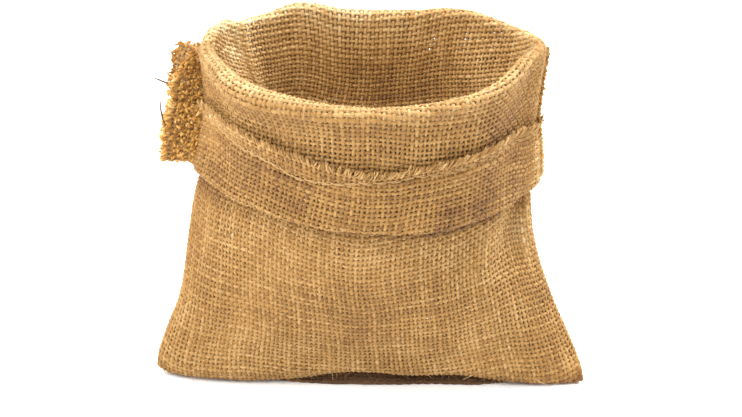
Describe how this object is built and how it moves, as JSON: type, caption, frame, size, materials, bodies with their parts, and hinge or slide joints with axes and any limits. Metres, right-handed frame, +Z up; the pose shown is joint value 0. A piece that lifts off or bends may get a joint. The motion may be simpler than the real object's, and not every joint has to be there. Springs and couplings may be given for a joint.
{
  "type": "jute sack",
  "caption": "Small open jute sack standing on its own, its mouth turned out into a wide hemmed cuff with frayed side turnings.",
  "frame": {"origin": "middle of the sack's outline on the surface it stands on", "axes": "+X to the sack's right along its width, -Y to its front, +Z up"},
  "size_m": [0.201, 0.1178, 0.1635],
  "materials": {
    "front_hessian": "natural golden brown jute in an open plain weave, matt and hairy",
    "back_hessian": "the same jute cloth, seen from its shaded inner face"
  },
  "bodies": {
    "root": {"front_panel": "front_hessian", "back_panel": "back_hessian"}
  },
  "joints": []
}
